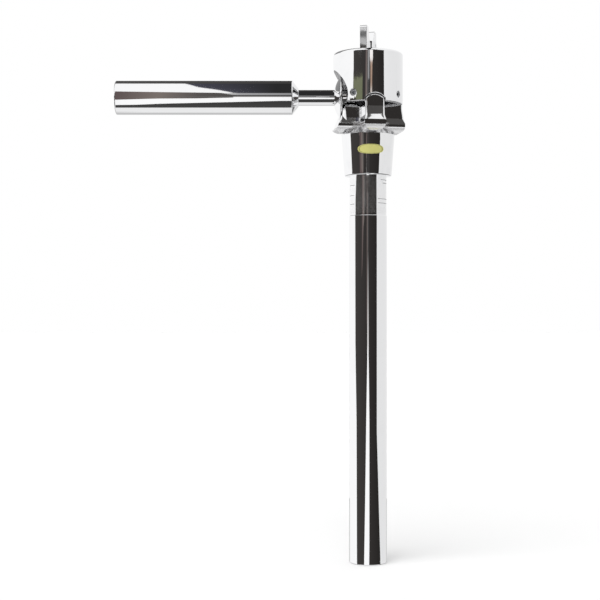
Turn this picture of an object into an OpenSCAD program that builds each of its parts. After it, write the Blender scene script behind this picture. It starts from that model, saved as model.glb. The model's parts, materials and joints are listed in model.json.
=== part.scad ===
// Upper section of a cymbal boom stand: tube, ball-joint head and a short boom with a counterweight.
// Millimetres, +Z up. Origin: centre of the lower end of the tube. The boom points along -X.
// Azimuths are counted about Z from the front (-Y), positive towards +X.

/* [Down tube] */
// Outside diameter of the tube
tube_d = 25.4; // [24.6:0.1:26]
// Wall thickness of the tube
tube_wall = 1.6; // [1.2:0.1:2]
// Bare length of tube below the collar
tube_show = 260.4; // [180:1:400]
// Length of tube held inside the collar
tube_grip = 24; // [18:0.5:24]
// Chamfer on the lower rim of the tube
tube_chamfer = 0.4; // [0.2:0.1:0.6]
// Height of the clear film wrapped on the tube
film_h = 25; // [12:1:30]
// Thickness of the clear film
film_t = 0.12; // [0.1:0.02:0.2]
// Reduction of the tube's radius at its upper end, under the film and in the collar
tube_neck = 0.3; // [0.28:0.01:0.4]

/* [Collar and arms] */
// Collar radius at its lower rim
collar_r_low = 15.85; // [15.4:0.05:16.4]
// Collar radius where the arms start
collar_r_top = 17.8; // [17.4:0.1:18.4]
// Height of the boom axis above the collar's lower rim
boom_rise = 53.1; // [52:0.1:54]
// Height of the collar cone
collar_h = 27.6; // [27:0.1:28]
// Rounding of the collar's lower rim
collar_round = 0.8; // [0.4:0.1:1.2]
// Turn of the four-armed head about the tube
head_turn = 9; // [5:0.5:13]
// Width of an arm
arm_w = 13; // [12:0.2:14]
// Extra width of an arm at its foot
arm_flare = 0.8; // [0.2:0.1:1.2]
// Rounding of an arm's lower edges
arm_belly = 5.5; // [4:0.1:6]
// Radius of an arm's rounded top
arm_top_r = 8.4; // [8:0.1:8.8]
// Drop of the arm tops below the boom axis
arm_drop = 0.3; // [0.1:0.1:1]
// Largest radius of the arms, near their feet
arm_r_foot = 24; // [23.8:0.1:24.4]
// Radius of the arms where they meet the cup
arm_r_top = 22.4; // [22.2:0.1:22.8]
// Rounding of the outer lower corner of an arm
foot_round = 4; // [3:0.1:4.4]
// Radius of the core between the arms
hub_r = 9; // [8.8:0.05:9.1]
// Height of the core's sloping foot between the arms
core_foot = 7; // [5:0.5:9]

/* [Cup] */
// Outside radius of the cup
cup_r = 23.4; // [23.2:0.1:24]
// Wall thickness of the cup
cup_wall = 3.4; // [3:0.1:3.6]
// Height of the cup top above the boom axis
cup_rise = 29.6; // [29:0.1:31]
// Drop of the cup rim below the boom axis
cup_drop = 5.1; // [4.8:0.1:5.4]
// Rounding of the cup's top edge
cup_round = 1.8; // [1.2:0.1:2.4]
// Thickness of the cup's top
cup_top_t = 7.2; // [6.6:0.1:7.6]
// Radius of the window the boom leaves through
window_r = 18.3; // [18:0.1:18.8]
// Radius of the cup's set screws
screw_r = 2.1; // [1.9:0.1:2.2]
// Azimuth half way between the two front set screws
screw_mid = 14.5; // [13.5:0.5:15.5]
// Angle from there to each of them
screw_az = 42.5; // [41.5:0.5:43]
// Height of the set screws above the boom axis
screw_rise = 0.4; // [0:0.1:0.8]

/* [Ball joint] */
// Radius of the split ball
ball_r = 11.5; // [11.4:0.05:11.7]
// Radius of the sleeve shank inside the ball
shank_r = 6.9; // [6.7:0.1:7.1]
// Radius of the sleeve neck between ball and flange
neck_r = 8.3; // [7.9:0.1:8.6]
// Radius of the domed flange
flange_r = 14; // [13:0.1:14.2]
// Sphere radius of the flange's dome
dome_r = 23.5; // [23.2:0.1:23.7]
// Distance from the ball centre to the flange's back
flange_back = 17.4; // [17.2:0.1:17.8]
// Width of the slit that lets the ball close on the sleeve
slit_w = 1.2; // [0.8:0.1:1.6]
// Outside radius of the lower seat ring
seat_r = 7.2; // [7:0.05:7.4]
// Inside radius of the lower seat ring
seat_hole_r = 4; // [3.4:0.1:4.6]
// Radius of the brake pad above the ball
pad_r = 6.4; // [5.8:0.1:6.6]
// Gap between pad and ball with the wing screw eased
pad_gap = 0.5; // [0.5:0.05:0.7]

/* [Wing screw] */
// Thread radius of the wing screw
wing_screw_r = 3.95; // [3.8:0.05:4]
// Radius of the smooth tip that turns in the pad
wing_tip_r = 3; // [2.6:0.1:3.2]
// Thickness of the wing plate
wing_t = 5; // [4:0.1:5.4]
// Overall width across the wings
wing_span = 27; // [25:0.5:30]
// Height of the wing tips above the cup top
wing_rise = 17; // [16:0.5:19]
// Turn of the wings from the front-to-back line
wing_turn = -17; // [-30:1:0]

/* [Boom] */
// Radius of the boom rod
rod_r = 5.25; // [5:0.05:5.35]
// Radius of the counterweight
weight_r = 11.4; // [11:0.1:12]
// Distance from the tube axis to the shoulder of the counterweight
weight_in = 51.2; // [51:0.5:54]
// Distance from the tube axis to the outer end of the counterweight
weight_out = 170.4; // [150:1:190]
// Length of the cone at the counterweight's shoulder
weight_cone = 4.2; // [3.6:0.1:4.8]
// Rounding of the counterweight's outer end
weight_round = 0.9; // [0.5:0.1:1.4]

/* [Sticker] */
// Half width of the oval sticker
sticker_w = 8.6; // [7:0.1:9.5]
// Half height of the oval sticker
sticker_h = 3.2; // [3:0.05:4]
// Height of the sticker's middle above the collar's lower rim
sticker_rise = 16.75; // [14:0.25:19]
// Azimuth of the sticker
sticker_az = 3.5; // [-10:0.5:10]

/* [Hidden] */
$fn = 96;
// Clearance of a running or sliding fit, on the radius
fit = 0.05;
// Gap between pieces that are fixed together
touch = 0.02;
// Free space kept round moving pieces
room = 0.45;
// Cut overshoot
over = 1;
// Largest downward tilt and sideways swing the head is relieved for, degrees
tilt_down = 5;
swing = 5;
// Reach of cutting bodies
far = 40;

tube_r = tube_d / 2;
neck_tube_r = tube_r - tube_neck;
film_low = tube_show - film_h - 0.4;
neck_low = film_low - 1.5;
bz = tube_show + boom_rise;
collar_z = tube_show;
arms_z = collar_z + collar_h;
arm_top_z = bz - arm_drop;
cup_rim_z = bz - cup_drop;
cup_top_z = bz + cup_rise;
cup_in = cup_r - cup_wall;
cup_ceiling = cup_top_z - cup_top_t;
window_in = 10.4;
spigot_r = cup_in - fit;
spigot_wall = 2.4;
spigot_low = cup_rim_z + 0.5;
spigot_high = bz + 4.9;
seat_floor = bz - ball_r - 2;
hub_top = bz - ball_r + 3;
ball_flat = sqrt(ball_r * ball_r - pow(shank_r + fit, 2));
neck_in = ball_flat + 0.3;
ball_back = ball_r * 0.48;
washer_t = 1.5;
washer_s = ball_back + fit;
clip_w = 1;
clip_s = washer_s + washer_t;
clip_r = shank_r + 1;
groove_r = shank_r - 0.5;
shank_out = clip_s + clip_w + 1;
pad_top = bz + ball_r + 5;
tip_len = 2.5;
bush_r = 6;
bush_flange_r = 8;
bush_flange_t = 1;
wing_low = cup_top_z + 2.2;
ear_low = cup_top_z + 0.6;
ear_in = bush_flange_r + 0.6;
wing_hub_r = 5.6;
wing_hub_top = wing_low + 6;
rod_in = -shank_out;
end_bore_r = 8.5;
end_bore_d = 6;
rod_out = weight_out - end_bore_d + room;
end_washer_t = 1.5;
pin_r = 1.5;
rod_pin_s = neck_in + 3.4;
grub_r = 3;
grub_in = 18;
grub_s = weight_in + grub_in;
hex_k = 0.58;
slope_foot_r = arm_r_foot - 1.4;
slope_foot = 3.6;
slope_top_r = arm_r_foot - 7.8;
slope_top = 22.4;
core_step = 0.6;
collar_pin_r = 2;
collar_pin_z = collar_z + 13;

// Lower tangent point from p to a circle of radius r round c
function tangent_low(p, c, r) =
  let (d = c - p, l = norm(d), a = atan2(d[1], d[0]) - asin(r / l))
  p + sqrt(l * l - r * r) * [cos(a), sin(a)];

// Collar radius at height h above its lower rim
function collar_r(h) = collar_r_low + (collar_r_top - collar_r_low) * h / collar_h;

// Turns something built along +Z so that it runs along the boom
module on_boom() {
  translate([0, 0, bz])
    rotate([0, -90, 0])
      children();
}

// Ring with a plain bore, standing on z
module ring(r_out, r_in, h) {
  difference() {
    cylinder(r = r_out, h = h);
    translate([0, 0, -over])
      cylinder(r = r_in, h = h + 2 * over);
  }
}

// Socket set screw standing on z, socket at the top
module grub(r, h) {
  difference() {
    cylinder(r = r, h = h);
    translate([0, 0, h * 0.45])
      cylinder(r = r * hex_k, h = h, $fn = 6);
  }
}

// Pieces placed at the three set-screw azimuths of the cup, built along +Z
module at_cup_screws() {
  for (az = [screw_mid - screw_az, screw_mid + screw_az, screw_mid + 180 - screw_az])
    rotate([0, 0, az])
      translate([0, 0, bz + screw_rise])
        rotate([90, 0, 0])
          children();
}

// Section of an arm: straight flanks, wider foot, rounded top and rounded lower edges
module arm_section(extra) {
  half = arm_w / 2 + extra;
  foot = half + arm_flare;
  top_c = arm_top_z - arm_top_r;
  belly_z = arms_z + 6.5;
  flare_z = arms_z + 11;
  // the flare runs into the rounding without a step
  up = flare_z - belly_z;
  across = arm_belly - arm_flare;
  lean = atan2(up, across) - acos(arm_belly / norm([across, up]));
  side = foot - arm_belly + arm_belly * cos(lean);
  side_z = belly_z + arm_belly * sin(lean);
  polygon([[-side, side_z], [side, side_z], [half, flare_z], [half, top_c], [-half, top_c], [-half, flare_z]]);
  for (s = [-1, 1])
    translate([s * (foot - arm_belly), belly_z])
      circle(r = arm_belly);
  translate([arm_belly - foot, belly_z - arm_belly])
    square([2 * (foot - arm_belly), side_z + arm_belly - belly_z + over]);
  intersection() {
    translate([0, top_c])
      circle(r = arm_top_r + extra);
    translate([-half, top_c - over])
      square([2 * half, arm_top_r + extra + 2 * over]);
  }
}

// One arm as a bar running to the front
module arm_bar(extra) {
  rotate([90, 0, 0])
    linear_extrude(height = far)
      arm_section(extra);
}

// Side outline of an arm: distance from the tube axis, and height
module arm_outline() {
  corner = [arm_r_foot - foot_round, arms_z + 5.6];
  under = [collar_r_top - 0.4, arms_z - 0.3];
  low = tangent_low(under, corner, foot_round);
  polygon([[0, under[1]], under, low, corner, [arm_r_foot, corner[1]], [arm_r_foot, arms_z + 8],
    [arm_r_foot - 0.85, arms_z + 12.2], [arm_r_top + 0.2, arms_z + 16], [arm_r_top, arms_z + 17.5],
    [arm_r_top, arm_top_z + over], [0, arm_top_z + over]]);
  translate(corner)
    circle(r = foot_round);
}

// One arm of the casting, running to the front, with a flat outer face
module arm() {
  intersection() {
    arm_bar(0);
    rotate([90, 0, -90])
      linear_extrude(height = 2 * arm_w, center = true)
        arm_outline();
  }
}

// Collar cone with a rounded lower rim
module collar_solid() {
  rotate_extrude() {
    polygon([[0, collar_z], [collar_r_low - collar_round, collar_z],
      [collar_r_low - collar_round, collar_z + collar_round], [collar_r_low, collar_z + collar_round],
      [collar_r_top, arms_z], [0, arms_z]]);
    translate([collar_r_low - collar_round, collar_z + collar_round])
      circle(r = collar_round);
  }
}

// Core between the arms, with the ring the cup is screwed to
module hub_solid() {
  translate([0, 0, arms_z - over])
    cylinder(r = hub_r, h = hub_top - arms_z + over);
  translate([0, 0, arms_z - over])
    cylinder(r1 = collar_r_top - core_step, r2 = hub_r, h = core_foot + over);
  translate([0, 0, spigot_low])
    ring(spigot_r, spigot_r - spigot_wall, spigot_high - spigot_low);
}

// Space swept by the domed flange as the boom moves
module flange_room() {
  translate([0, 0, bz])
    intersection() {
      sphere(r = dome_r + room);
      for (side = [-swing, swing])
        rotate([0, 0, side])
          rotate([0, -tilt_down, 0])
            translate([-flange_back + room - far, -far, -far])
              cube([far, 2 * far, 2 * far]);
    }
}

// Opening for the boom through the cup and the ring below it
module window_cut() {
  on_boom()
    translate([0, 0, window_in])
      cylinder(r = window_r, h = far);
}

// Cross hole through collar and tube at the back, for the spring pin
module collar_pin_hole() {
  rotate([0, 0, head_turn + 180])
    translate([0, 0, collar_pin_z])
      rotate([90, 0, 0])
        cylinder(r = collar_pin_r + touch, h = far);
}

module down_tube() {
  top = tube_show + tube_grip;
  color("silver")
    difference() {
      rotate_extrude()
        polygon([[tube_r - tube_wall, tube_chamfer], [tube_r - tube_wall + tube_chamfer, 0],
          [tube_r - tube_chamfer, 0], [tube_r, tube_chamfer], [tube_r, neck_low], [neck_tube_r, neck_low + tube_neck],
          [neck_tube_r, top], [tube_r - tube_wall, top]]);
      collar_pin_hole();
    }
}

module tube_film() {
  color("white")
    difference() {
      translate([0, 0, film_low])
        ring(neck_tube_r + touch + film_t, neck_tube_r + touch, film_h);
      translate([-0.6, 0, film_low - over])
        cube([1.2, tube_d, film_h + 2 * over]);
    }
}

module base_casting() {
  color("silver")
    difference() {
      union() {
        collar_solid();
        hub_solid();
        rotate([0, 0, head_turn])
          for (k = [0:3])
            rotate([0, 0, 90 * k])
              arm();
      }
      translate([0, 0, collar_z - over])
        cylinder(r = neck_tube_r + touch, h = tube_grip + touch + over);
      translate([0, 0, seat_floor])
        cylinder(r = seat_r + fit, h = far);
      translate([0, 0, bz])
        sphere(r = ball_r + room);
      // channel for the sleeve neck, widening outwards with its swing
      on_boom()
        cylinder(r1 = neck_r + room, r2 = neck_r + room + far * tan(tilt_down + 2), h = far);
      flange_room();
      // the ring is open where the boom leaves
      intersection() {
        window_cut();
        translate([-far, -far, cup_rim_z])
          cube([2 * far, 2 * far, far]);
      }
      // slope on the outer face of the arm under the boom
      rotate([0, 0, head_turn - 90])
        rotate([90, 0, 90])
          translate([0, 0, -arm_w])
            linear_extrude(height = 2 * arm_w)
              polygon([[-slope_foot_r, arms_z + slope_foot], [-slope_top_r, arms_z + slope_top],
                [-slope_top_r, bz], [-far, bz], [-far, arms_z + slope_foot]]);
      at_cup_screws()
        translate([0, 0, spigot_r - spigot_wall - over])
          cylinder(r = screw_r + touch, h = far);
      collar_pin_hole();
    }
}

// Fills the corners of an oval out a little
function full(v) = sign(v) * pow(abs(v), 0.8);

module oval_sticker() {
  mid = collar_z + sticker_rise;
  low = sticker_rise - sticker_h - over;
  high = sticker_rise + sticker_h + over;
  thick = 0.15;
  color("khaki")
    intersection() {
      rotate_extrude()
        polygon([[collar_r(low) + touch, collar_z + low], [collar_r(low) + touch + thick, collar_z + low],
          [collar_r(high) + touch + thick, collar_z + high], [collar_r(high) + touch, collar_z + high]]);
      rotate([0, 0, sticker_az])
        translate([0, 0, mid])
          rotate([90, 0, 0])
            linear_extrude(height = far)
              polygon([for (i = [0:59]) [sticker_w * full(cos(6 * i)), sticker_h * full(sin(6 * i))]]);
    }
}

module collar_pin() {
  outer = collar_r(collar_pin_z - collar_z) - 0.3;
  color("gray")
    rotate([0, 0, head_turn + 180])
      translate([0, 0, collar_pin_z])
        rotate([90, 0, 0])
          translate([0, 0, tube_r - tube_wall])
            difference() {
              ring(collar_pin_r, collar_pin_r - 0.8, outer - tube_r + tube_wall);
              translate([0, -0.4, -over])
                cube([collar_pin_r * 2, 0.8, far]);
            }
}

module head_cup() {
  color("silver")
    difference() {
      rotate_extrude() {
        polygon([[0, cup_rim_z], [cup_r, cup_rim_z], [cup_r, cup_top_z - cup_round],
          [cup_r - cup_round, cup_top_z - cup_round], [cup_r - cup_round, cup_top_z], [0, cup_top_z]]);
        translate([cup_r - cup_round, cup_top_z - cup_round])
          circle(r = cup_round);
      }
      translate([0, 0, cup_rim_z - over])
        cylinder(r = cup_in, h = cup_ceiling - cup_rim_z + over);
      translate([0, 0, cup_ceiling - over])
        cylinder(r = bush_r + touch, h = cup_top_t + 2 * over);
      window_cut();
      rotate([0, 0, head_turn])
        for (k = [0:3])
          rotate([0, 0, 90 * k])
            arm_bar(0.2);
      at_cup_screws()
        cylinder(r = screw_r + touch, h = far);
    }
}

module cup_screws() {
  color("gray")
    at_cup_screws()
      translate([0, 0, spigot_r - spigot_wall + 0.2])
        grub(screw_r, cup_wall + spigot_wall - 0.9);
}

module screw_bush() {
  color("goldenrod")
    difference() {
      union() {
        translate([0, 0, cup_ceiling])
          cylinder(r = bush_r, h = cup_top_t + touch);
        translate([0, 0, cup_top_z + touch])
          cylinder(r = bush_flange_r, h = bush_flange_t);
      }
      translate([0, 0, cup_ceiling - over])
        cylinder(r = wing_screw_r + fit, h = cup_top_t + bush_flange_t + 3 * over);
    }
}

module seat_ring() {
  color("ivory")
    difference() {
      translate([0, 0, seat_floor + fit])
        ring(seat_r, seat_hole_r, ball_r);
      translate([0, 0, bz])
        sphere(r = ball_r + fit);
      translate([0, 0, hub_top + over])
        cylinder(r = far, h = far);
    }
}

module joint_ball() {
  color("dimgray")
    difference() {
      translate([0, 0, bz])
        sphere(r = ball_r);
      on_boom()
        translate([0, 0, -far])
          cylinder(r = shank_r + fit, h = 2 * far);
      translate([-far, 0, bz - slit_w / 2])
        cube([2 * far, far, slit_w]);
      // flat back, so that the washer and the clip stay inside the ball's sphere
      translate([ball_back, -far, bz - far])
        cube(2 * far);
    }
}

module brake_pad() {
  color("ivory")
    difference() {
      translate([0, 0, bz + pad_r])
        cylinder(r = pad_r, h = pad_top - bz - pad_r);
      translate([0, 0, bz])
        sphere(r = ball_r + pad_gap);
      translate([0, 0, pad_top - tip_len])
        cylinder(r = wing_tip_r + fit, h = far);
    }
}

module wing_shaft() {
  low = pad_top - tip_len + fit;
  color("silver") {
    translate([0, 0, low])
      cylinder(r = wing_tip_r, h = pad_top + 0.4 - low);
    translate([0, 0, pad_top + 0.4])
      difference() {
        cylinder(r = wing_screw_r, h = wing_hub_top - 0.6 - pad_top - 0.4);
        translate([0, 0, wing_low + 3 - pad_top - 0.4])
          rotate([0, 0, wing_turn])
            rotate([0, 90, 0])
              translate([0, 0, -far])
                cylinder(r = 1.2 + touch, h = 2 * far);
      }
  }
}

module wing_handle() {
  half = wing_span / 2;
  top = cup_top_z + wing_rise;
  tip = 1.6;
  color("silver")
    rotate([0, 0, wing_turn])
      difference() {
        union() {
          translate([0, 0, wing_low])
            cylinder(r = wing_hub_r, h = wing_hub_top - wing_low);
          rotate([90, 0, 90])
            translate([0, 0, -wing_t / 2])
              linear_extrude(height = wing_t)
                for (s = [-1, 1])
                  scale([s, 1])
                    wing_ear(half, top, tip);
        }
        translate([0, 0, wing_low - over])
          cylinder(r = wing_screw_r + touch, h = wing_hub_top - 0.6 + touch - wing_low + over);
        translate([-far, 0, wing_low + 3])
          rotate([0, 90, 0])
            cylinder(r = 1.2 + touch, h = 2 * far);
      }
}

// One ear of the wing in its own plane: width out from the screw, height up. Outside the bush's flange it
// reaches down almost to the cup.
module wing_ear(half, top, tip) {
  polygon([[0, wing_low], [ear_in, wing_low], [ear_in, ear_low], [half - 0.8, ear_low], [half, ear_low + 0.8],
    [half, top - tip], [half - tip, top], [half - 3.4, top], [half - 5, top - tip], [6, wing_low + 7],
    [3, wing_low + 5.4], [0, wing_low + 5]]);
  translate([half - tip, top - tip])
    circle(r = tip);
  translate([half - 3.4, top - tip])
    circle(r = tip);
}

module wing_pin() {
  color("gray")
    rotate([0, 0, wing_turn])
      translate([0.2 - wing_hub_r, 0, wing_low + 3])
        rotate([0, 90, 0])
          cylinder(r = 1.2, h = 2 * wing_hub_r - 0.4);
}

module boom_sleeve() {
  rim = 0.6;
  color("silver")
    difference() {
      on_boom()
        rotate_extrude()
          intersection() {
            polygon([[rod_r + touch, -shank_out], [groove_r, -shank_out], [shank_r, -shank_out + 0.5],
              [shank_r, neck_in], [neck_r, neck_in], [neck_r, flange_back], [flange_r - rim, flange_back],
              [flange_r, flange_back + rim], [flange_r, far], [rod_r + touch, far]]);
            circle(r = dome_r);
          }
      on_boom()
        translate([0, 0, -clip_s - clip_w])
          ring(far, groove_r, clip_w);
      on_boom()
        translate([0, 0, rod_pin_s])
          rotate([0, 90, 0])
            translate([0, 0, -far])
              cylinder(r = pin_r + touch, h = 2 * far);
    }
}

module sleeve_washer() {
  color("gray")
    on_boom()
      translate([0, 0, -clip_s])
        ring(neck_r, shank_r + touch, washer_t);
}

module sleeve_clip() {
  color("dimgray")
    on_boom()
      translate([0, 0, -clip_s - clip_w + touch])
        difference() {
          ring(clip_r, groove_r + touch, clip_w - 2 * touch);
          translate([0, -1.5, -over])
            cube([far, 3, 3 * over]);
        }
}

module boom_rod() {
  color("silver")
    difference() {
      on_boom()
        translate([0, 0, rod_in])
          cylinder(r = rod_r, h = rod_out - rod_in);
      on_boom()
        translate([0, 0, rod_pin_s])
          rotate([0, 90, 0])
            translate([0, 0, -far])
              cylinder(r = pin_r + touch, h = 2 * far);
      on_boom()
        translate([0, 0, rod_out - 12])
          cylinder(r = 2.5 + touch, h = far);
    }
}

module rod_pin() {
  color("gray")
    on_boom()
      translate([0, 0, rod_pin_s])
        rotate([0, 90, 0])
          translate([0, 0, -neck_r + 0.3])
            cylinder(r = pin_r, h = 2 * neck_r - 0.6);
}

module counterweight() {
  nose = rod_r + 0.9;
  color("silver")
    difference() {
      on_boom()
        rotate_extrude() {
          polygon([[rod_r + fit, weight_in - weight_cone], [nose, weight_in - weight_cone],
            [weight_r - 0.3, weight_in - 0.3], [weight_r, weight_in + 0.2], [weight_r, weight_out - weight_round],
            [weight_r - weight_round, weight_out - weight_round], [weight_r - weight_round, weight_out],
            [rod_r + fit, weight_out]]);
          translate([weight_r - weight_round, weight_out - weight_round])
            circle(r = weight_round);
        }
      on_boom()
        translate([0, 0, weight_out - end_bore_d])
          cylinder(r = end_bore_r, h = far);
      on_boom()
        translate([0, 0, grub_s])
          rotate([-90, 0, 0])
            cylinder(r = grub_r + touch, h = far);
    }
}

module weight_screw() {
  color("gray")
    on_boom()
      translate([0, 0, grub_s])
        rotate([-90, 0, 0])
          translate([0, 0, rod_r + 2.1])
            grub(grub_r, weight_r - rod_r - 2.7);
}

module weight_pad() {
  color("goldenrod")
    on_boom()
      translate([0, 0, grub_s])
        rotate([-90, 0, 0])
          translate([0, 0, rod_r + room])
            cylinder(r = grub_r - 0.05, h = 2.1 - room - touch);
}

module end_washer() {
  color("gray")
    on_boom()
      translate([0, 0, rod_out + touch])
        ring(end_bore_r - room, 2.5 + touch, end_washer_t);
}

module end_screw() {
  head = rod_out + end_washer_t + 2 * touch;
  color("gray")
    on_boom() {
      translate([0, 0, rod_out - 11])
        cylinder(r = 2.5, h = head + touch - rod_out + 11);
      translate([0, 0, head])
        difference() {
          cylinder(r = 4.4, h = 2.6);
          translate([0, 0, 1])
            cylinder(r = 1.7, h = 3, $fn = 6);
        }
    }
}

down_tube();
tube_film();
base_casting();
oval_sticker();
collar_pin();
head_cup();
cup_screws();
screw_bush();
seat_ring();
joint_ball();
brake_pad();
wing_shaft();
wing_handle();
wing_pin();
boom_sleeve();
sleeve_washer();
sleeve_clip();
boom_rod();
rod_pin();
counterweight();
weight_screw();
weight_pad();
end_washer();
end_screw();
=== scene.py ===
# %% [markdown]
# # Upper section of a cymbal boom stand
# The solids of the stand are loaded as a fixed frame, in metres, and every finish and small piece is built
# round them. Chrome has hardly any colour of its own, so most of the work here is a believable room for it
# to mirror.

# %% Frame
import bpy
import bmesh
import json
import math
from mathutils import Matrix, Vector

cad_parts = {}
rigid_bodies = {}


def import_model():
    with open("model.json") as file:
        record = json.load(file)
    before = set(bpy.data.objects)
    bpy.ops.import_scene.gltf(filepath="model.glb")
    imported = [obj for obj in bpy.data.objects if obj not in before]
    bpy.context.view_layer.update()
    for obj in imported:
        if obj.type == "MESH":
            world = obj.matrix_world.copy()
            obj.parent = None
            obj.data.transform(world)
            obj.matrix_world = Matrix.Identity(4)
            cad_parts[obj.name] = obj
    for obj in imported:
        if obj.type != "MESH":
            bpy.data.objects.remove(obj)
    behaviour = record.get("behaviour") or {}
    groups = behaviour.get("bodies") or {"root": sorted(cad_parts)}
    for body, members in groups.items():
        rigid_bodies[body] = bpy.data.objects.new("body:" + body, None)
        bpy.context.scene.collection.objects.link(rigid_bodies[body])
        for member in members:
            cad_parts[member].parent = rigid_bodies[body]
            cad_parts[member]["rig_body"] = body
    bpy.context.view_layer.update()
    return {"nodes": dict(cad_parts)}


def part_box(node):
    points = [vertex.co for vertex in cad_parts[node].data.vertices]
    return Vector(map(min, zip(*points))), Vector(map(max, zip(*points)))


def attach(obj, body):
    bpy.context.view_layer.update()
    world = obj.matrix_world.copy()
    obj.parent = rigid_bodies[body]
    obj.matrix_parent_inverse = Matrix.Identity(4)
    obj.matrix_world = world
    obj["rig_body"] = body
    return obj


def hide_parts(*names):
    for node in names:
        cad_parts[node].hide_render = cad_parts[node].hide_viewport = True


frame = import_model()
scene = bpy.context.scene
nodes = frame["nodes"]

# %% [markdown]
# ## Camera
# The stand is seen straight on, from a little under a metre away and level with the middle of its tube. A
# 75 mm lens on a 36 mm sensor gives the same gentle perspective: the boom is seen slightly from below.

# %% Camera
EYE_AWAY = 0.845
EYE = Vector((-0.046, -EYE_AWAY, 0.1769))
cam_data = bpy.data.cameras.new("camera")
cam_data.lens = 75.0
cam_data.sensor_width = 36.0
camera = bpy.data.objects.new("camera", cam_data)
camera.location = EYE
camera.rotation_euler = (math.radians(90.0), 0.0, 0.0)
scene.collection.objects.link(camera)
scene.camera = camera
scene.view_settings.view_transform = "Standard"
print("camera:", tuple(round(v, 4) for v in camera.location))

# %% [markdown]
# ## Floor and light
# A product table is white all round. The world is plain white to the eye, a little softer as a light, and
# to mirrors it falls off to pale grey on the right and below, as a room does away from its lamp. One wide
# sun gives the floor its contact shadow. It is hidden from mirrors, where it would be a hot spot.

# %% Floor and light


def add(tree, kind, settings=None, inputs=None):
    """A node with its settings and inputs. An input is either a value or the socket that feeds it."""
    made = tree.nodes.new(kind)
    for key, value in (settings or {}).items():
        setattr(made, key, value)
    for key, value in (inputs or {}).items():
        if isinstance(value, bpy.types.NodeSocket):
            tree.links.new(value, made.inputs[key])
        else:
            made.inputs[key].default_value = value
    return made


def maths(tree, operation, a, b=0.0):
    """The result of a maths node on two values or sockets."""
    made = add(tree, "ShaderNodeMath", {"operation": operation}, {0: a, 1: b})
    return made.outputs[0]


world = bpy.data.worlds.new("white_room")
world.use_nodes = True
scene.world = world
wt = world.node_tree
wt.nodes.clear()
path = add(wt, "ShaderNodeLightPath")
heading = add(wt, "ShaderNodeTexCoord").outputs["Generated"]
away = add(wt, "ShaderNodeVectorMath", {"operation": "DOT_PRODUCT"}, {0: heading, 1: (0.85, 0.1, -0.5)})
mirrored = add(wt, "ShaderNodeMapRange", None, {
    "Value": away.outputs["Value"], "From Min": -0.35, "From Max": 0.75, "To Min": 0.98, "To Max": 0.80})
lit = add(wt, "ShaderNodeMapRange", None, {
    "Value": path.outputs["Is Glossy Ray"], "To Min": 0.62, "To Max": mirrored.outputs["Result"]})
clear = maths(wt, "MAXIMUM", path.outputs["Is Camera Ray"], path.outputs["Is Transmission Ray"])
level = add(wt, "ShaderNodeMapRange", None, {"Value": clear, "To Min": lit.outputs["Result"], "To Max": 1.0})
sky = add(wt, "ShaderNodeBackground", None, {
    "Color": (1.0, 1.0, 1.0, 1.0), "Strength": level.outputs["Result"]})
add(wt, "ShaderNodeOutputWorld", None, {"Surface": sky.outputs[0]})

sun_data = bpy.data.lights.new("soft_sun", "SUN")
sun_data.energy = 1.6
sun_data.angle = math.radians(50.0)
sun = bpy.data.objects.new("soft_sun", sun_data)
sun.rotation_euler = (math.radians(28.0), math.radians(-22.0), 0.0)
sun.visible_glossy = False
scene.collection.objects.link(sun)


def empty_material(name):
    """A material without nodes, and its tree."""
    mat = bpy.data.materials.new(name)
    mat.use_nodes = True
    mat.node_tree.nodes.clear()
    return mat, mat.node_tree


def stage_mesh(name, points, faces, mat):
    """A piece of the stage, which is no part of the stand."""
    mesh = bpy.data.meshes.new(name)
    mesh.from_pydata(points, [], faces)
    mesh.materials.append(mat)
    obj = bpy.data.objects.new(name, mesh)
    scene.collection.objects.link(obj)
    return obj


paper, pt = empty_material("floor_paper")
paper_look = add(pt, "ShaderNodeBsdfDiffuse", None, {"Color": (0.93, 0.93, 0.93, 1.0)})
paper_seen = add(pt, "ShaderNodeLightPath").outputs["Is Camera Ray"]
paper_lift = add(pt, "ShaderNodeEmission", None, {
    "Color": (1.0, 1.0, 1.0, 1.0), "Strength": maths(pt, "MULTIPLY", paper_seen, 0.07)})
paper_sum = add(pt, "ShaderNodeAddShader", None, {0: paper_look.outputs[0], 1: paper_lift.outputs[0]})
add(pt, "ShaderNodeOutputMaterial", None, {"Surface": paper_sum.outputs[0]})

FLOOR_HALF = 6.0
FLOOR_LEVEL = -0.0002
floor_corners = [(x * FLOOR_HALF, y * FLOOR_HALF, FLOOR_LEVEL) for x, y in ((-1, -1), (1, -1), (1, 1), (-1, 1))]
floor = stage_mesh("floor", floor_corners, [(0, 1, 2, 3)], paper)
floor.visible_glossy = False
print("floor and light set")

# %% [markdown]
# ## What the chrome mirrors
# A mirror in an all-white room vanishes. Photographers hang cards out of view, and so does this stage. The
# cards are strips of a big sphere that only mirror rays can see, and each corner has its own shade. Cards
# for the upright pieces are placed by azimuth and elevation. Cards for the boom are placed by the spot
# along it that mirrors them and by the turn about its axis, so they can be read straight off the
# counterweight's bands.

# %% Card tools
# Metres from the stand to the farthest cards. A card that covers another hangs at a smaller share of this.
CARD_FAR = 8.0
# Metres from the stand to the few cards that hang close.
HEAD_NEAR = 0.30
COLLAR_NEAR = 0.10
BOOM_NEAR = 0.30
# Heights of the boom's axis and of the highest spot that an upright face is struck at.
BOOM_Z = 0.3135
HEAD_TOP = 0.345
# Degrees by which the stand lies to the right of the lens, and by which the line of sight rises to the boom.
LEAN = 3.1
RISE = 9.2
WHITE = (1.0, 1.0, 1.0)

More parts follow.
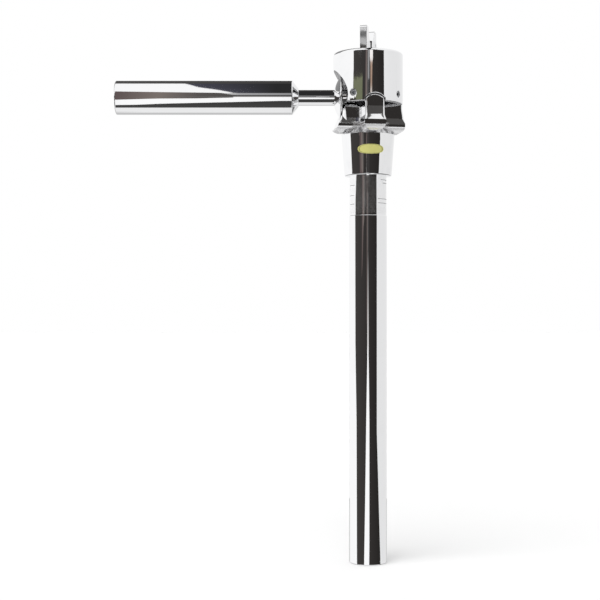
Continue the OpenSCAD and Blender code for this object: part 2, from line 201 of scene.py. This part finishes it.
card_paper, ct = empty_material("card_paper")
card_shade = add(ct, "ShaderNodeAttribute", {"attribute_name": "shade"}).outputs["Color"]
card_glow = add(ct, "ShaderNodeEmission", None, {"Color": card_shade})
add(ct, "ShaderNodeOutputMaterial", None, {"Surface": card_glow.outputs[0]})


def upright(azimuth, elevation, reach):
    """Elevation is that of the line of sight, which an upright face sends back from where it struck."""
    a, e = math.radians(azimuth - LEAN), math.radians(elevation)
    struck = min(max(EYE.z + EYE_AWAY * math.tan(e), 0.0), HEAD_TOP)
    heading = Vector((math.sin(a) * math.cos(e), -math.cos(a) * math.cos(e), math.sin(e)))
    return Vector((0.0, 0.0, struck)) + reach * heading


def along_boom(x_mm, turn, reach):
    """Turn counts from the line back to the lens, which rises to the boom."""
    x, r = x_mm / 1000.0, math.radians(turn - RISE)
    a = math.atan2(x - EYE.x, -EYE.y)
    heading = Vector((math.sin(a), -math.cos(a) * math.cos(r), math.cos(a) * math.sin(r)))
    return Vector((x, 0.0, BOOM_Z)) + reach * heading


def in_front(x_mm, z_mm, reach):
    """A spot on a flat card in front of the stand."""
    return Vector((x_mm / 1000.0, -reach, z_mm / 1000.0))


def finer(values, steps):
    """Straight runs between the values, cut finely so that a card stays round."""
    out = []
    for a, b in zip(values, values[1:]):
        for i in range(steps):
            k = i / steps
            out.append([u + (v - u) * k for u, v in zip(a, b)])
    out.append(list(values[-1]))
    return out


def grey(value):
    return (value, value, value)


def shades(colours, count):
    """A colour for each corner, where one may stand for all."""
    if isinstance(colours[0], (int, float)):
        colours = [colours] * count
    return colours


def mirror_card(name, place, one, other, reach, one_shade, other_shade=None, steps=8, rows=24):
    """A card ruled between two edges of matching corners."""
    a = finer(one, steps)
    b = finer(other, steps)
    a_shade = finer(shades(one_shade, len(one)), steps)
    b_shade = finer(shades(other_shade or one_shade, len(one)), steps)
    points, glow, faces = [], [], []
    for i in range(rows + 1):
        k = i / rows
        for p, q, s, t in zip(a, b, a_shade, b_shade):
            points.append(place(p[0] + (q[0] - p[0]) * k, p[1] + (q[1] - p[1]) * k, reach))
            glow.append([u + (v - u) * k for u, v in zip(s, t)])
    for i in range(rows):
        for j in range(len(a) - 1):
            n = i * len(a) + j
            faces.append((n, n + 1, n + len(a) + 1, n + len(a)))
    card = stage_mesh(name, points, faces, card_paper)
    layer = card.data.color_attributes.new("shade", "FLOAT_COLOR", "POINT")
    for item, colour in zip(layer.data, glow):
        item.color = (*colour, 1.0)
    card.visible_camera = False
    card.visible_diffuse = False
    card.visible_transmission = False
    card.visible_shadow = False


def panel(name, place, across, upward, reach, one_shade, other_shade=None):
    """A plain card between two places across and two upwards."""
    (start, end), (low, high) = across, upward
    mirror_card(
        name, place, [(start, low), (start, high)], [(end, low), (end, high)], reach, one_shade, other_shade)


print("card tools ready")

# %% [markdown]
# ### Cards for the upright pieces
# The dark front of the studio gives the tube and the cup their black core. It narrows upwards as an arch
# with a grey border, which the sloping faces of the arms pick up as bands, and two grey cards over it leave
# a notch for the white band on the front arm. A pale opening low in it gives the tube its stripe, and one
# card is for the wing's ear. Three small cards hang close to the head, for the inner corner of the arms and
# the collar. The low cards round about are there for views from above and from behind.

# %% Cards for the upright pieces
DARK = (0.021, 0.019, 0.018)
ARCH = (0.072, 0.069, 0.067)
front_left = [
    (-69, -14.5), (-72, -11.7), (-73, -9.2), (-75, -5.5), (-84, -2), (-86, 4.5), (-72, 7), (-50, 9.0),
    (-48, 11.6), (-46, 14), (-45, 16), (-44, 20), (-43, 24)]
front_right = [
    (85, -14.5), (81, -11.7), (69, -9.2), (55.3, -6), (55.3, -2), (55.3, 4.5), (54.5, 7), (53.7, 9.0),
    (53.7, 11.6), (38, 14), (26, 16), (14, 20), (8, 24)]
mirror_card("front_dark", upright, front_left, front_right, CARD_FAR, (0.050, 0.046, 0.044), DARK, 6, 40)
mirror_card(
    "arch_grey", upright,
    [(54.5, 11.6), (38, 14), (26, 16), (14, 20), (8, 24)],
    [(62, 14), (50, 21), (37, 26), (24.6, 30), (15, 33)],
    CARD_FAR * 0.99, ARCH)
panel("arch_left", upright, (19, 25.4), (29, 36), CARD_FAR * 0.985, ARCH)
panel("arch_right", upright, (27.6, 31), (29, 36), CARD_FAR * 0.985, ARCH)
EAR_ROWS = (11.45, 11.75, 11.95, 12.25, 12.35, 12.8)
mirror_card(
    "ear_grey", upright, [(-34, e) for e in EAR_ROWS], [(-22, e) for e in EAR_ROWS], CARD_FAR * 0.97,
    [grey(v) for v in (0.45, 0.4, 0.12, 0.10, 0.7, 0.8)], [grey(v) for v in (0.6, 0.5, 0.18, 0.16, 0.7, 0.5)])
mirror_card(
    "tube_stripe", upright,
    [(-24, -14.5), (-17.8, -14.5), (-14, -14.5), (-11, -14.5), (-6.7, -14.5), (-3.3, -14.5),
     (2.2, -14.5), (5.5, -13), (8, -11)],
    [(-24, -12), (-17.8, -9.2), (-14, -7.3), (-11, -5.5), (-6.7, -3.6), (-3.3, -2),
     (2.2, -2), (5.5, -3.7), (8, -5.5)],
    CARD_FAR * 0.97, WHITE)
mirror_card(
    "stripe_end", upright, [(-5, -2.4), (0, -2.1), (4, -2.4)], [(-4, 2.2), (0, 2.5), (3, 2.2)],
    CARD_FAR * 0.945, (0.75, 0.73, 0.72), (0.045, 0.042, 0.042))
mirror_card(
    "cup_olive", upright, [(-49, 8.0), (-34, 8.0), (-18, 8.0)], [(-49, 9.85), (-36, 9.95), (-18, 10.05)],
    CARD_FAR * 0.95, (0.15, 0.165, 0.10), (0.18, 0.19, 0.12))
mirror_card(
    "cup_streak", upright, [(7.5, 8.4), (8.5, 9.3), (9, 9.6), (8.5, 10.7), (6, 11.1), (4, 20)],
    [(14, 8.4), (13, 9.3), (13, 9.6), (13.5, 10.7), (15.5, 11.1), (12, 20)],
    CARD_FAR * 0.95,
    [(0.6, 0.57, 0.55), (0.55, 0.5, 0.46), (0.36, 0.25, 0.19), (0.42, 0.29, 0.22),
     (0.95, 0.92, 0.9), (0.95, 0.92, 0.9)])
panel("collar_dark", in_front, (-13, 3), (256, 288), COLLAR_NEAR, (0.045, 0.042, 0.041))
panel("corner_pale", in_front, (-31, -19.3), (336, 352), HEAD_NEAR, WHITE)
panel("corner_brown", in_front, (-19.3, -6), (336, 352), HEAD_NEAR, (0.03, 0.028, 0.027))
mirror_card(
    "left_grey", upright, [(-106, 15), (-106, 40), (-112, 66)], [(-172, 15), (-172, 40), (-166, 66)],
    CARD_FAR, grey(0.20), grey(0.34))
panel("left_low_grey", upright, (-106, -160), (-60, -16), CARD_FAR, grey(0.40), grey(0.58))
LOW_EDGE = -50
for name, across, top, shade in (
        ("low_front", (-69, 12), -14.5, (0.045, 0.042, 0.04)),
        ("low_front_right", (34, 85), -14.5, (0.03, 0.028, 0.027)),
        ("low_right", (85, 150), -15, grey(0.18)),
        ("low_left", (-106, -69), -15, grey(0.18)),
        ("low_back", (150, 212), -9, grey(0.56))):
    panel(name, upright, across, (LOW_EDGE, top), CARD_FAR, shade)

# %% [markdown]
# ### Cards for the boom
# From below upwards the counterweight mirrors a dark floor edge, the pale opening, a brown wall, the white
# ceiling and then a dark part of the ceiling that comes in from the right with a slanted edge. One brown
# card hangs close to the boom, so that the tube looks past it at its own pale stripe.

# %% Cards for the boom
mirror_card(
    "boom_low_dark", along_boom, [(-200, -69), (-10, -69)], [(-200, -10), (-10, -10)], CARD_FAR,
    (0.058, 0.057, 0.056), grey(0.04))
mirror_card(
    "boom_opening", along_boom,
    [(-195, -54), (-167.6, -47.6), (-140.6, -39.4), (-113.6, -32.9), (-86.5, -26.5),
     (-59.5, -19.5), (-20, -17)],
    [(-195, -14), (-167.6, -11.7), (-140.6, -4.2), (-113.6, -2.8), (-86.5, 3.4),
     (-59.5, 5.5), (-20, 4.4)],
    CARD_FAR * 0.965, WHITE)
BROWN = [
    (0.11, 0.085, 0.085), (0.12, 0.092, 0.09), (0.20, 0.17, 0.155), (0.10, 0.091, 0.088), (0.085, 0.079, 0.077)]
mirror_card(
    "boom_brown_near", along_boom,
    [(-195, -14), (-167.6, -11.7), (-140.6, -4.2), (-113.6, -2.8), (-90, 2.5)],
    [(-195, 9), (-167.6, 9), (-140.6, 9), (-113.6, 9), (-90, 9)],
    BOOM_NEAR, BROWN)
mirror_card(
    "boom_brown", along_boom,
    [(-195, 7), (-167.6, 7), (-140.6, 7), (-113.6, 7), (-100, 7), (-92, 7), (-86.5, 6), (-20, 5)],
    [(-195, 45.3), (-167.6, 44.6), (-140.6, 40.2), (-113.6, 36.5), (-100, 34.8), (-92, 22),
     (-86.5, 19.2), (-20, 19.2)],
    CARD_FAR * 0.955, BROWN + [(0.075, 0.071, 0.070), (0.07, 0.067, 0.068), (0.06, 0.058, 0.058)])
mirror_card(
    "boom_tail", along_boom,
    [(-97, 31.8), (-91, 21.2), (-86.5, 19.0), (-20, 19.0)],
    [(-97, 33.8), (-91, 33.8), (-86.5, 32.8), (-20, 32.8)],
    CARD_FAR * 0.95, [grey(0.8), grey(0.5), (0.36, 0.36, 0.37), grey(0.22)])
CEILING = CARD_FAR * 0.98
CEILING_DARK = (0.024, 0.024, 0.025)
CEILING_END = (0.022, 0.021, 0.021)
mirror_card(
    "boom_ceiling", along_boom,
    [(-89.9, 32.8), (-90.5, 34.8), (-100, 54.5), (-113.6, 76.8), (-122, 110.8), (-122, 112.8)],
    [(-62, 32.8), (-62, 34.8), (-62, 54.5), (-62, 76.8), (-62, 110.8), (-62, 112.8)],
    CEILING, (0.062, 0.062, 0.083), CEILING_DARK)
panel("boom_ceiling_right", along_boom, (-62, 40), (32.8, 112.8), CEILING, CEILING_DARK, CEILING_END)
panel("boom_back", along_boom, (-200, 40), (112.8, 169), CEILING, (0.09, 0.088, 0.086), CEILING_END)

# %% [markdown]
# ## Wear
# Three small groups are shared by all finishes. Smears are soft patches of haze, specks are the odd
# pinprick of dust or scuff, and lines are the fine marks that turning or drawing leaves. Each gives a
# number from 0 to 1.

# %% Wear


def new_group(name, inputs, output):
    """A shader group with these inputs and one number out: its tree, its inputs and its output node."""
    tree = bpy.data.node_groups.new(name, "ShaderNodeTree")
    for label, kind, value in inputs:
        socket = tree.interface.new_socket(label, in_out="INPUT", socket_type=kind)
        if value is not None:
            socket.default_value = value
    tree.interface.new_socket(output, in_out="OUTPUT", socket_type="NodeSocketFloat")
    return tree, tree.nodes.new("NodeGroupInput").outputs, tree.nodes.new("NodeGroupOutput")


def remap(tree, value, low, high, to_low=0.0, to_high=1.0):
    made = add(tree, "ShaderNodeMapRange", None, {
        "Value": value, "From Min": low, "From Max": high, "To Min": to_low, "To Max": to_high})
    return made.outputs["Result"]


smears, given, out = new_group("smears", [
    ("Vector", "NodeSocketVector", None), ("Scale", "NodeSocketFloat", 25.0)], "Amount")
patch = add(smears, "ShaderNodeTexNoise", None, {
    "Vector": given["Vector"], "Scale": given["Scale"], "Detail": 5.0, "Roughness": 0.6, "Distortion": 0.8})
smears.links.new(remap(smears, patch.outputs["Fac"], 0.52, 0.78), out.inputs["Amount"])

specks, given, out = new_group("specks", [
    ("Vector", "NodeSocketVector", None), ("Scale", "NodeSocketFloat", 220.0),
    ("Size", "NodeSocketFloat", 0.09)], "Amount")
dots = add(specks, "ShaderNodeTexVoronoi", None, {"Vector": given["Vector"], "Scale": given["Scale"]})
inner = maths(specks, "MULTIPLY", given["Size"], 0.5)
dot = remap(specks, dots.outputs["Distance"], given["Size"], inner)
sparse = add(specks, "ShaderNodeTexNoise", None, {
    "Vector": given["Vector"], "Scale": maths(specks, "MULTIPLY", given["Scale"], 0.16), "Detail": 2.0})
some = remap(specks, sparse.outputs["Fac"], 0.58, 0.66)
specks.links.new(maths(specks, "MULTIPLY", dot, some), out.inputs["Amount"])

lines, given, out = new_group("lines", [
    ("Vector", "NodeSocketVector", None), ("Stretch", "NodeSocketVector", (1500.0, 20.0, 20.0))], "Amount")
drawn = add(lines, "ShaderNodeVectorMath", {"operation": "MULTIPLY"}, {
    0: given["Vector"], 1: given["Stretch"]})
streaks = add(lines, "ShaderNodeTexNoise", None, {
    "Vector": drawn.outputs["Vector"], "Scale": 1.0, "Detail": 3.0, "Roughness": 0.6})
lines.links.new(streaks.outputs["Fac"], out.inputs["Amount"])
print("wear groups:", [g.name for g in bpy.data.node_groups])

# %% [markdown]
# ## Finishes
# Every finish is one Principled shader. The chrome has one of three grains: drawn for the tube, cast for
# the head, where the polish leaves a slight ripple, and turned for the boom and its weight. A polishing
# wheel can't reach under the arms or into the cup, so the plating is satin there. Inside the cup its grey is
# also darker: that is painted shade in the recess.

# %% Finishes
# Sockets of a colour mix: the two colours and the result.
MIX_A, MIX_B, MIX_RESULT = 6, 7, 2
# Metres: the cup's inside, and the heights and radii between which the satin under the arms fades.
CUP_INNER_R = 0.0231
CUP_INNER_TOP = 0.342
COLLAR_TOP = 0.2879
UNDERSIDE_FADE = (0.2922, 0.2936)
CORE_FADE_R = (0.0135, 0.0155)
CORE_FADE_Z = (0.2955, 0.2970)


def finish(name, metallic, **constants):
    """A Principled material with fixed values: itself, its tree, its shader and the place on the piece."""
    mat = bpy.data.materials.new(name)
    mat.use_nodes = True
    tree = mat.node_tree
    shader = tree.nodes["Principled BSDF"]
    shader.inputs["Metallic"].default_value = metallic
    for key, value in constants.items():
        shader.inputs[key.replace("_", " ")].default_value = value
    spot = add(tree, "ShaderNodeTexCoord").outputs["Object"]
    return mat, tree, shader, spot


def use(tree, group, **inputs):
    return add(tree, "ShaderNodeGroup", {"node_tree": group}, inputs).outputs["Amount"]


def two_tone(tree, amount, first, second):
    made = add(tree, "ShaderNodeMix", {"data_type": "RGBA"}, {
        0: amount, MIX_A: (*first, 1.0), MIX_B: (*second, 1.0)})
    return made.outputs[MIX_RESULT]


def bumped(tree, shader, height, depth):
    bump = add(tree, "ShaderNodeBump", None, {"Height": height, "Strength": 1.0, "Distance": depth})
    tree.links.new(bump.outputs["Normal"], shader.inputs["Normal"])


def off_axis(tree, spot):
    """How far a spot lies from the tube's axis."""
    level = add(tree, "ShaderNodeVectorMath", {"operation": "MULTIPLY"}, {0: spot, 1: (1.0, 1.0, 0.0)})
    length = add(tree, "ShaderNodeVectorMath", {"operation": "LENGTH"}, {0: level.outputs["Vector"]})
    return length.outputs["Value"]


def inside_cup(tree, spot):
    height = add(tree, "ShaderNodeSeparateXYZ", None, {0: spot}).outputs["Z"]
    within = maths(tree, "LESS_THAN", off_axis(tree, spot), CUP_INNER_R)
    return maths(tree, "MULTIPLY", within, maths(tree, "LESS_THAN", height, CUP_INNER_TOP))


def under_arms(tree, spot):
    """The arms' undersides and the core between them, down to the collar."""
    height = add(tree, "ShaderNodeSeparateXYZ", None, {0: spot}).outputs["Z"]
    low = remap(tree, height, *UNDERSIDE_FADE, 1.0, 0.0)
    core = maths(tree, "MULTIPLY", remap(tree, off_axis(tree, spot), *CORE_FADE_R, 1.0, 0.0),
                 remap(tree, height, *CORE_FADE_Z, 1.0, 0.0))
    above = maths(tree, "GREATER_THAN", height, COLLAR_TOP)
    return maths(tree, "MULTIPLY", maths(tree, "MAXIMUM", low, core), above)


def chrome(name, stretch, depth, ripple=0.0, smear_scale=25.0, dull=None, satin_and_shade_grey=0.9, dull_rough=0.3):
    """Polished chrome. Where dull says so, the wheel never reached and the plating is satin; its dark grey in
    the cup is painted shade.
    """
    mat, tree, shader, spot = finish(name, 1.0)
    haze = use(tree, smears, Vector=spot, Scale=smear_scale)
    dust = use(tree, specks, Vector=spot)
    mark = use(tree, lines, Vector=spot, Stretch=stretch)
    dulled = maths(tree, "ADD", maths(tree, "MULTIPLY", haze, 0.5), maths(tree, "MULTIPLY", dust, 0.5))
    colour = two_tone(tree, dulled, (0.955, 0.957, 0.965), (0.86, 0.865, 0.875))
    rough = maths(tree, "ADD", remap(tree, haze, 0.0, 1.0, 0.025, 0.06), maths(tree, "MULTIPLY", dust, 0.35))
    if dull:
        amount = dull(tree, spot)
        # Where the mask says, the colour goes to the satin grey. A dark grey here, as in the cup, is painted
        # shade.
        satin_and_shade_mix = add(tree, "ShaderNodeMix", {"data_type": "RGBA"}, {
            0: amount, MIX_A: colour, MIX_B: (satin_and_shade_grey, satin_and_shade_grey, satin_and_shade_grey * 1.01, 1.0)})
        colour = satin_and_shade_mix.outputs[MIX_RESULT]
        rough = maths(tree, "MAXIMUM", rough, maths(tree, "MULTIPLY", amount, dull_rough))
    tree.links.new(colour, shader.inputs["Base Color"])
    tree.links.new(rough, shader.inputs["Roughness"])
    height = maths(tree, "MULTIPLY", mark, depth)
    if ripple:
        wave = add(tree, "ShaderNodeTexNoise", None, {"Vector": spot, "Scale": 110.0, "Detail": 1.5})
        height = maths(tree, "ADD", height, maths(tree, "MULTIPLY", wave.outputs["Fac"], ripple))
    bumped(tree, shader, height, 1.0)
    return mat


CAST = {"stretch": (300.0, 300.0, 300.0), "depth": 1.0e-7, "ripple": 1.2e-5, "smear_scale": 60.0}
chrome_drawn = chrome("chrome_drawn", (900.0, 900.0, 6.0), 3.0e-8)
chrome_cast = chrome("chrome_cast", **CAST)
chrome_arms = chrome("chrome_arms", **CAST, dull=under_arms)
# Inside the cup the grey of 0.62 is painted shade in the recess; only the rougher plating is real satin.
chrome_cup = chrome("chrome_cup", **CAST, dull=inside_cup, satin_and_shade_grey=0.62, dull_rough=0.42)
chrome_turned = chrome("chrome_turned", (1800.0, 30.0, 30.0), 6.0e-8)

steel, tree, shader, spot = finish("zinc_steel", 1.0)
haze = use(tree, smears, Vector=spot, Scale=180.0)
tree.links.new(two_tone(tree, haze, (0.46, 0.47, 0.49), (0.34, 0.345, 0.36)), shader.inputs["Base Color"])
tree.links.new(remap(tree, haze, 0.0, 1.0, 0.22, 0.38), shader.inputs["Roughness"])

brass, tree, shader, spot = finish("turned_brass", 1.0)
mark = use(tree, lines, Vector=spot, Stretch=(40.0, 40.0, 4000.0))
tree.links.new(two_tone(tree, mark, (0.80, 0.63, 0.33), (0.66, 0.49, 0.23)), shader.inputs["Base Color"])
tree.links.new(remap(tree, mark, 0.3, 0.7, 0.18, 0.34), shader.inputs["Roughness"])


def nylon(name, light, dark):
    mat, tree, shader, spot = finish(name, 0.0)
    cloud = use(tree, smears, Vector=spot, Scale=140.0)
    tree.links.new(two_tone(tree, cloud, light, dark), shader.inputs["Base Color"])
    tree.links.new(remap(tree, cloud, 0.0, 1.0, 0.38, 0.5), shader.inputs["Roughness"])
    grain = use(tree, lines, Vector=spot, Stretch=(2500.0, 2500.0, 2500.0))
    bumped(tree, shader, grain, 6.0e-6)
    return mat


nylon_white = nylon("nylon_white", (0.83, 0.81, 0.75), (0.74, 0.71, 0.63))
nylon_black = nylon("nylon_black", (0.022, 0.022, 0.024), (0.035, 0.034, 0.034))
print("metal and nylon finishes:", len(bpy.data.materials))

# %% [markdown]
# ## Sticker and film
# The sticker is plain yellow vinyl with a thin darker border, found from how far a spot lies from its
# middle. The film is nearly clear, a little hazy, and carries a few plain rules and nothing else.

# %% Sticker and film
OVAL_POWER = 2.5
vinyl, tree, shader, spot = finish("yellow_vinyl", 0.0, Roughness=0.3)
low, high = (Vector(corner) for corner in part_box("oval_sticker"))
half = (high - low) / 2
flat = add(tree, "ShaderNodeVectorMath", {"operation": "SUBTRACT"}, {0: spot, 1: (low + high) / 2})
flat = add(tree, "ShaderNodeSeparateXYZ", None, {0: flat.outputs["Vector"]}).outputs
across = maths(tree, "ABSOLUTE", maths(tree, "DIVIDE", flat["X"], half.x))
upward = maths(tree, "ABSOLUTE", maths(tree, "DIVIDE", flat["Z"], half.z))
out_from_middle = maths(
    tree, "ADD", maths(tree, "POWER", across, OVAL_POWER), maths(tree, "POWER", upward, OVAL_POWER))
inside = remap(tree, out_from_middle, 0.65, 0.70)
outside = remap(tree, out_from_middle, 0.81, 0.88, 1.0, 0.0)
border = maths(tree, "MULTIPLY", inside, outside)
mottle = use(tree, smears, Vector=spot, Scale=300.0)
shade = maths(tree, "ADD", maths(tree, "MULTIPLY", border, 0.75), maths(tree, "MULTIPLY", mottle, 0.2))
tree.links.new(two_tone(tree, shade, (0.62, 0.60, 0.20), (0.24, 0.23, 0.07)), shader.inputs["Base Color"])

film, tree, shader, spot = finish("clear_film", 0.0, Roughness=0.12)
part = add(tree, "ShaderNodeSeparateXYZ", None, {0: spot}).outputs
RULE_MM = 0.28


def rule(tree, height_mm, left_mm, right_mm):
    """A thin level line on the front of the film between two places across."""
    off = maths(tree, "ABSOLUTE", maths(tree, "SUBTRACT", part["Z"], height_mm / 1000.0))
    thin = maths(tree, "LESS_THAN", off, RULE_MM / 2000.0)
    after = maths(tree, "GREATER_THAN", part["X"], left_mm / 1000.0)
    before = maths(tree, "LESS_THAN", part["X"], right_mm / 1000.0)
    front = maths(tree, "LESS_THAN", part["Y"], 0.0)
    return maths(
        tree, "MULTIPLY", maths(tree, "MULTIPLY", thin, after), maths(tree, "MULTIPLY", before, front))


printed = rule(tree, 244.6, 6.0, 12.3)
for height_mm, left_mm, right_mm in ((241.8, 6.4, 12.1), (257.4, 8.2, 12.2), (255.2, 9.4, 12.2),
                                     (253.8, -12.2, -9.6), (247.0, -12.3, -10.2), (241.2, -12.2, -9.8)):
    printed = maths(tree, "MAXIMUM", printed, rule(tree, height_mm, left_mm, right_mm))
crease = use(tree, smears, Vector=spot, Scale=160.0)
tree.links.new(two_tone(tree, printed, (0.90, 0.90, 0.89), (0.16, 0.16, 0.17)), shader.inputs["Base Color"])
hazy = remap(tree, crease, 0.0, 1.0, 0.012, 0.035)
tree.links.new(maths(tree, "MAXIMUM", hazy, maths(tree, "MULTIPLY", printed, 0.6)), shader.inputs["Alpha"])
print("sticker and film done")

# %% [markdown]
# ## Dressing the solids
# Each solid takes the finish of the piece it stands for.

# %% Dressing the solids
FINISH = {
    "down_tube": chrome_drawn, "base_casting": chrome_arms, "head_cup": chrome_cup,
    "wing_handle": chrome_cast, "wing_shaft": chrome_turned, "boom_sleeve": chrome_turned,
    "boom_rod": chrome_turned, "counterweight": chrome_turned, "tube_film": film, "oval_sticker": vinyl,
    "screw_bush": brass, "weight_pad": brass, "seat_ring": nylon_white, "brake_pad": nylon_white,
    "joint_ball": nylon_black,
}
for name, obj in nodes.items():
    obj.data.materials.clear()
    obj.data.materials.append(FINISH.get(name, steel))
print("finishes set on", len(nodes), "solids")

# %% [markdown]
# ## Soft edges
# Real castings have no knife edges, and on chrome each rounded edge draws a bright or dark line. A copy of
# the solid takes its place. Its edges are bevelled by a weight that depends on where they are, and the
# normals are weighted by area, so that large faces keep mirroring straight.

# %% Soft edges
# Metres within which points are one, square metres of a face that mirrors by itself, and angles of an edge
# and of a crease between large faces.
WELD = 2e-6
LARGE_FACE = 2.5e-5
EDGE_ANGLE = math.radians(28.0)
CREASE_ANGLE = math.radians(6.0)
# Millimetres: where the edges of arms, cup and flange begin that are rounded.
ARM_OUT, ARM_LOW = 20.5, 296.5
CUP_OUT, CUP_ROOF = 23.0, 342.0
FLANGE_X = -15.0


def soften(node, width, weight, flatten=0.4):
    """Weight gives 1 or 0 for an edge's middle, in millimetres. Flatten joins faces within so many degrees."""
    src = nodes[node]
    bm = bmesh.new()
    bm.from_mesh(src.data)
    bmesh.ops.remove_doubles(bm, verts=bm.verts, dist=WELD)
    bmesh.ops.dissolve_limit(bm, angle_limit=math.radians(flatten), verts=bm.verts, edges=bm.edges)
    layer = bm.edges.layers.float.new("bevel_weight_edge")
    for edge in bm.edges:
        angle = edge.calc_face_angle(0.0) if len(edge.link_faces) == 2 else 0.0
        if angle > EDGE_ANGLE:
            middle_mm = (edge.verts[0].co + edge.verts[1].co) * 500.0
            edge[layer] = weight(middle_mm) if edge.is_convex else 0.0
            edge.smooth = edge[layer] > 0.0
        elif angle > CREASE_ANGLE:
            edge.smooth = min(face.calc_area() for face in edge.link_faces) < LARGE_FACE
    for face in bm.faces:
        face.smooth = True
    mesh = bpy.data.meshes.new(node + "_soft")
    bm.to_mesh(mesh)
    bm.free()
    obj = bpy.data.objects.new(node + "_soft", mesh)
    scene.collection.objects.link(obj)
    mesh.materials.append(src.data.materials[0])
    mod = obj.modifiers.new("round", "BEVEL")
    mod.width = width
    mod.segments = 3
    mod.limit_method = "WEIGHT"
    mod.use_clamp_overlap = False
    mod.loop_slide = False
    mod.miter_outer = "MITER_ARC"
    even = obj.modifiers.new("even", "WEIGHTED_NORMAL")
    even.mode = "FACE_AREA"
    even.weight = 100
    even.keep_sharp = True
    made = bpy.data.meshes.new_from_object(obj.evaluated_get(bpy.context.evaluated_depsgraph_get()))
    obj.modifiers.clear()
    obj.data = made
    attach(obj, src["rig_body"])
    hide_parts(node)
    print(obj.name, len(made.polygons), "faces")


def casting_weight(p):
    return 1.0 if math.hypot(p.x, p.y) > ARM_OUT and p.z > ARM_LOW else 0.0


def cup_weight(p):
    return 1.0 if math.hypot(p.x, p.y) > CUP_OUT or p.z > CUP_ROOF else 0.0


ROUND_PIECE = 0.05
soften("base_casting", 0.0013, casting_weight)
soften("head_cup", 0.0005, cup_weight, ROUND_PIECE)
soften("wing_handle", 0.0004, lambda p: 1.0)
soften("counterweight", 0.00025, lambda p: 1.0, ROUND_PIECE)
soften("boom_sleeve", 0.0003, lambda p: 1.0 if p.x < FLANGE_X else 0.0, ROUND_PIECE)

# %% [markdown]
# ## Thread of the wing screw
# The solid's plain shaft stands for a thread of 1.25 mm pitch. Geometry Nodes wraps a grid round the axis:
# its width becomes the angle and its length the height. The radius follows a triangle wave that climbs one
# pitch a turn.

# %% Thread of the wing screw
thread = bpy.data.node_groups.new("screw_thread", "GeometryNodeTree")
for label in ("Crest", "Depth", "Pitch", "Low", "High"):
    thread.interface.new_socket(label, in_out="INPUT", socket_type="NodeSocketFloat")
thread.interface.new_socket("Finish", in_out="INPUT", socket_type="NodeSocketMaterial")
thread.interface.new_socket("Geometry", in_out="OUTPUT", socket_type="NodeSocketGeometry")
given = add(thread, "NodeGroupInput").outputs
grid = add(thread, "GeometryNodeMeshGrid", None, {
    "Size X": 1.0, "Size Y": 1.0, "Vertices X": 37, "Vertices Y": 209})
place = add(thread, "GeometryNodeInputPosition").outputs[0]
spot = add(thread, "ShaderNodeSeparateXYZ", None, {0: place}).outputs
around = maths(thread, "ADD", spot["X"], 0.5)
along = maths(thread, "ADD", spot["Y"], 0.5)
angle = maths(thread, "MULTIPLY", around, 2.0 * math.pi)
span = maths(thread, "SUBTRACT", given["High"], given["Low"])
height = maths(thread, "ADD", given["Low"], maths(thread, "MULTIPLY", along, span))
turns = maths(thread, "SUBTRACT", maths(thread, "DIVIDE", height, given["Pitch"]), around)
saw = maths(thread, "MULTIPLY", maths(thread, "FRACT", turns), 2.0)
wave = maths(thread, "ABSOLUTE", maths(thread, "SUBTRACT", saw, 1.0))
radius = maths(thread, "SUBTRACT", given["Crest"], maths(thread, "MULTIPLY", given["Depth"], wave))
closed = maths(thread, "LESS_THAN", maths(thread, "ABSOLUTE", spot["Y"]), 0.499)
radius = maths(thread, "MULTIPLY", radius, closed)
wound = add(thread, "ShaderNodeCombineXYZ", None, {
    "X": maths(thread, "MULTIPLY", radius, maths(thread, "COSINE", angle)),
    "Y": maths(thread, "MULTIPLY", radius, maths(thread, "SINE", angle)), "Z": height})
wrapped = add(thread, "GeometryNodeSetPosition", None, {
    "Geometry": grid.outputs["Mesh"], "Position": wound.outputs["Vector"]})
joined = add(thread, "GeometryNodeMergeByDistance", None, {
    "Geometry": wrapped.outputs["Geometry"], "Distance": 1e-6})
real = add(thread, "GeometryNodeRealizeInstances", None, {"Geometry": joined.outputs["Geometry"]})
dressed = add(thread, "GeometryNodeSetMaterial", None, {
    "Geometry": real.outputs["Geometry"], "Material": given["Finish"]})
add(thread, "NodeGroupOutput", None, {"Geometry": dressed.outputs["Geometry"]})

# Metres. Beyond the bare radius the solid stands for thread, and it shrinks to the core, under the thread.
CREST, DEPTH, PITCH = 0.00395, 0.00055, 0.00125
BARE_R, CORE_R = 0.0035, 0.0033
shaft = nodes["wing_shaft"]
bm = bmesh.new()
bm.from_mesh(shaft.data)
bmesh.ops.remove_doubles(bm, verts=bm.verts, dist=WELD)
low = min(v.co.z for v in bm.verts if math.hypot(v.co.x, v.co.y) > BARE_R)
high = max(v.co.z for v in bm.verts)
for vert in bm.verts:
    out = math.hypot(vert.co.x, vert.co.y)
    if out > BARE_R:
        vert.co.x *= CORE_R / out
        vert.co.y *= CORE_R / out
holder = bpy.data.objects.new("wing_shaft_threaded", bpy.data.meshes.new("wing_shaft_threaded"))
scene.collection.objects.link(holder)
winder = holder.modifiers.new("thread", "NODES")
winder.node_group = thread
values = {"Crest": CREST, "Depth": DEPTH, "Pitch": PITCH, "Low": low, "High": high, "Finish": chrome_turned}
for item in thread.interface.items_tree:
    if item.name in values:
        winder[item.identifier] = values[item.name]
bm.from_mesh(bpy.data.meshes.new_from_object(holder.evaluated_get(bpy.context.evaluated_depsgraph_get())))
holder.modifiers.clear()
bm.to_mesh(holder.data)
bm.free()
holder.data.materials.clear()
holder.data.materials.append(chrome_turned)
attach(holder, shaft["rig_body"])
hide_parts("wing_shaft")
print("thread in mm:", round(low * 1000, 2), round(high * 1000, 2), "faces:", len(holder.data.polygons))
